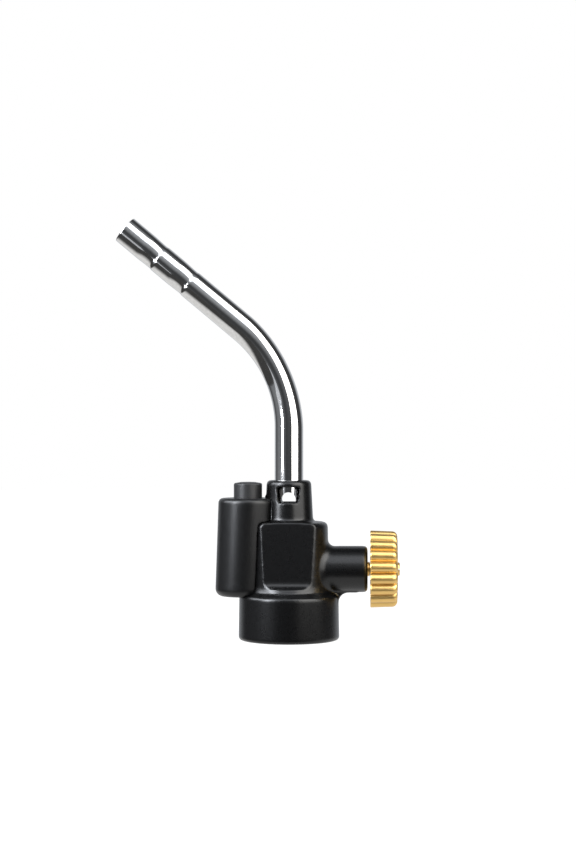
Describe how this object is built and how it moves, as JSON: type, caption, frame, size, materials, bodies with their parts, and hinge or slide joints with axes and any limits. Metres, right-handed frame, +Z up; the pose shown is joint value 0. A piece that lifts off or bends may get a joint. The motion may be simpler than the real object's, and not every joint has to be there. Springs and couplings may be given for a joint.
{
  "type": "hand gas torch head",
  "caption": "Hand torch head for glass work: bent steel burner tube on a black cast body with a screw-on cylinder socket, fluted brass gas valve knob and push-button spark igniter.",
  "frame": {"origin": "centre of the collar's bottom plane, on the axis of the cylinder socket", "axes": "+Z up along the socket and the straight part of the burner tube, +X towards the valve knob, -Y towards the front panel"},
  "size_m": [0.1194, 0.0416, 0.1769],
  "materials": {
    "black_enamel": "satin black stoved enamel on a zinc casting",
    "machined_brass": "turned brass",
    "polished_brass": "polished brass",
    "polished_steel": "polished stainless steel tube",
    "bare_steel": "plain steel",
    "sintered_bronze": "sintered bronze",
    "black_rubber": "moulded rubber",
    "black_plastic": "fine satin moulding",
    "grey_plastic": "matte moulding",
    "white_plastic": "natural moulding",
    "white_ceramic": "fired ceramic",
    "red_silicone": "silicone sleeve"
  },
  "bodies": {
    "torch": {"torch_body": "black_enamel", "cylinder_socket": "machined_brass", "inlet_seal": "black_rubber", "valve_depressor": "machined_brass", "inlet_filter": "sintered_bronze", "gas_jet": "machined_brass", "burner_tube": "polished_steel", "swirl_insert": "machined_brass", "electrode_insulator": "white_ceramic", "spark_electrode": "bare_steel", "ignition_lead": "red_silicone", "igniter_pod": "black_plastic", "piezo_case": "black_plastic", "piezo_terminal": "machined_brass", "piezo_crystal": "white_ceramic", "piezo_anvil": "bare_steel", "button_return_spring": "bare_steel", "hammer_spring": "bare_steel", "valve_seat": "machined_brass", "gland_packing": "white_plastic", "gland_nut": "machined_brass"},
    "needle": {"valve_needle": "machined_brass"},
    "knob": {"control_knob": "polished_brass", "knob_screw": "machined_brass", "valve_stem": "machined_brass", "stem_o_ring": "black_rubber"},
    "button": {"igniter_button": "grey_plastic", "piezo_plunger": "white_plastic"},
    "hammer": {"piezo_hammer": "bare_steel"}
  },
  "joints": [
    {"name": "needle_travel", "type": "slide", "parent": "torch", "child": "needle", "axis": [1, 0, 0], "range_m": [0, 0.00113]},
    {"name": "knob_turn", "type": "hinge", "parent": "needle", "child": "knob", "pos_m": [0.0398, 0, 0.02965], "axis": [1, 0, 0], "range_deg": [0, 540]},
    {"name": "button_press", "type": "slide", "parent": "torch", "child": "button", "axis": [0, 0, -1], "range_m": [0, 0.005], "stiffness_N_per_m": 600, "springref_m": -0.002, "deforming": ["button_return_spring", "hammer_spring"]},
    {"name": "hammer_strike", "type": "slide", "parent": "torch", "child": "hammer", "axis": [0, 0, -1], "range_m": [0, 0.002]}
  ],
  "couplings": [
    {"joint": "needle_travel", "follows": "knob_turn", "m_per_rad": 0.00011937},
    {"joint": "hammer_strike", "follows": "button_press", "ratio": 0.4}
  ]
}
